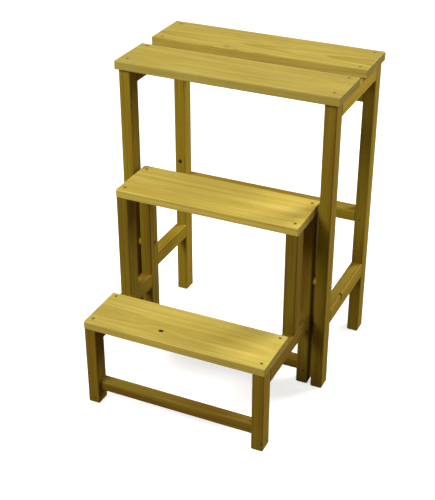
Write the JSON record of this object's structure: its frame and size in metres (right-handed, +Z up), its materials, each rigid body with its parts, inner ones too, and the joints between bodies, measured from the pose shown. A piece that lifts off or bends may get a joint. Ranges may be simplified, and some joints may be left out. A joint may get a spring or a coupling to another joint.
{
  "type": "step ladder",
  "caption": "Wooden step ladder: a legged stand carries the top step, and a unit with the lower steps swings up and over on pivot bolts to stow under it.",
  "frame": {"origin": "on the floor, under the middle of the ladder's box", "axes": "+Z up, +X to the right of a person facing the steps, +Y away from that person"},
  "size_m": [0.464, 0.506, 0.65],
  "materials": {
    "pine": "oiled honey pine, satin",
    "bolt": "dulled zinc",
    "screw": "dulled bronze"
  },
  "bodies": {
    "stand": {"back_stop_rail": "pine", "back_top_rail": "pine", "front_board_screw_left_front": "screw", "front_board_screw_left_rear": "screw", "front_board_screw_right_front": "screw", "front_board_screw_right_rear": "screw", "front_top_board": "pine", "left_back_leg": "pine", "left_front_leg": "pine", "left_low_side_rail": "pine", "left_pivot_bolt": "bolt", "left_pivot_nut": "bolt", "left_pivot_plug": "pine", "left_pivot_spacer": "pine", "left_pivot_washer": "bolt", "left_top_side_rail": "pine", "rear_board_screw_left_front": "screw", "rear_board_screw_left_rear": "screw", "rear_board_screw_right_front": "screw", "rear_board_screw_right_rear": "screw", "rear_top_board": "pine", "right_back_leg": "pine", "right_front_leg": "pine", "right_low_side_rail": "pine", "right_pivot_bolt": "bolt", "right_pivot_nut": "bolt", "right_pivot_plug": "pine", "right_pivot_spacer": "pine", "right_pivot_washer": "bolt", "right_top_side_rail": "pine"},
    "step_unit": {"front_cross_rail": "pine", "left_low_front_leg": "pine", "left_mid_post": "pine", "left_step_side_rail": "pine", "left_swing_leg": "pine", "low_tread": "pine", "low_tread_screw_left_front": "screw", "low_tread_screw_left_rear": "screw", "low_tread_screw_right_front": "screw", "low_tread_screw_right_rear": "screw", "middle_tread": "pine", "middle_tread_screw_left_front": "screw", "middle_tread_screw_left_rear": "screw", "middle_tread_screw_right_front": "screw", "middle_tread_screw_right_rear": "screw", "rear_cross_rail": "pine", "right_low_front_leg": "pine", "right_mid_post": "pine", "right_step_side_rail": "pine", "right_swing_leg": "pine"}
  },
  "joints": [
    {"name": "step_unit_swing", "type": "hinge", "parent": "stand", "child": "step_unit", "pos_m": [0, 0.0035, 0.248], "axis": [-1, 0, 0], "range_deg": [0, 180]}
  ]
}
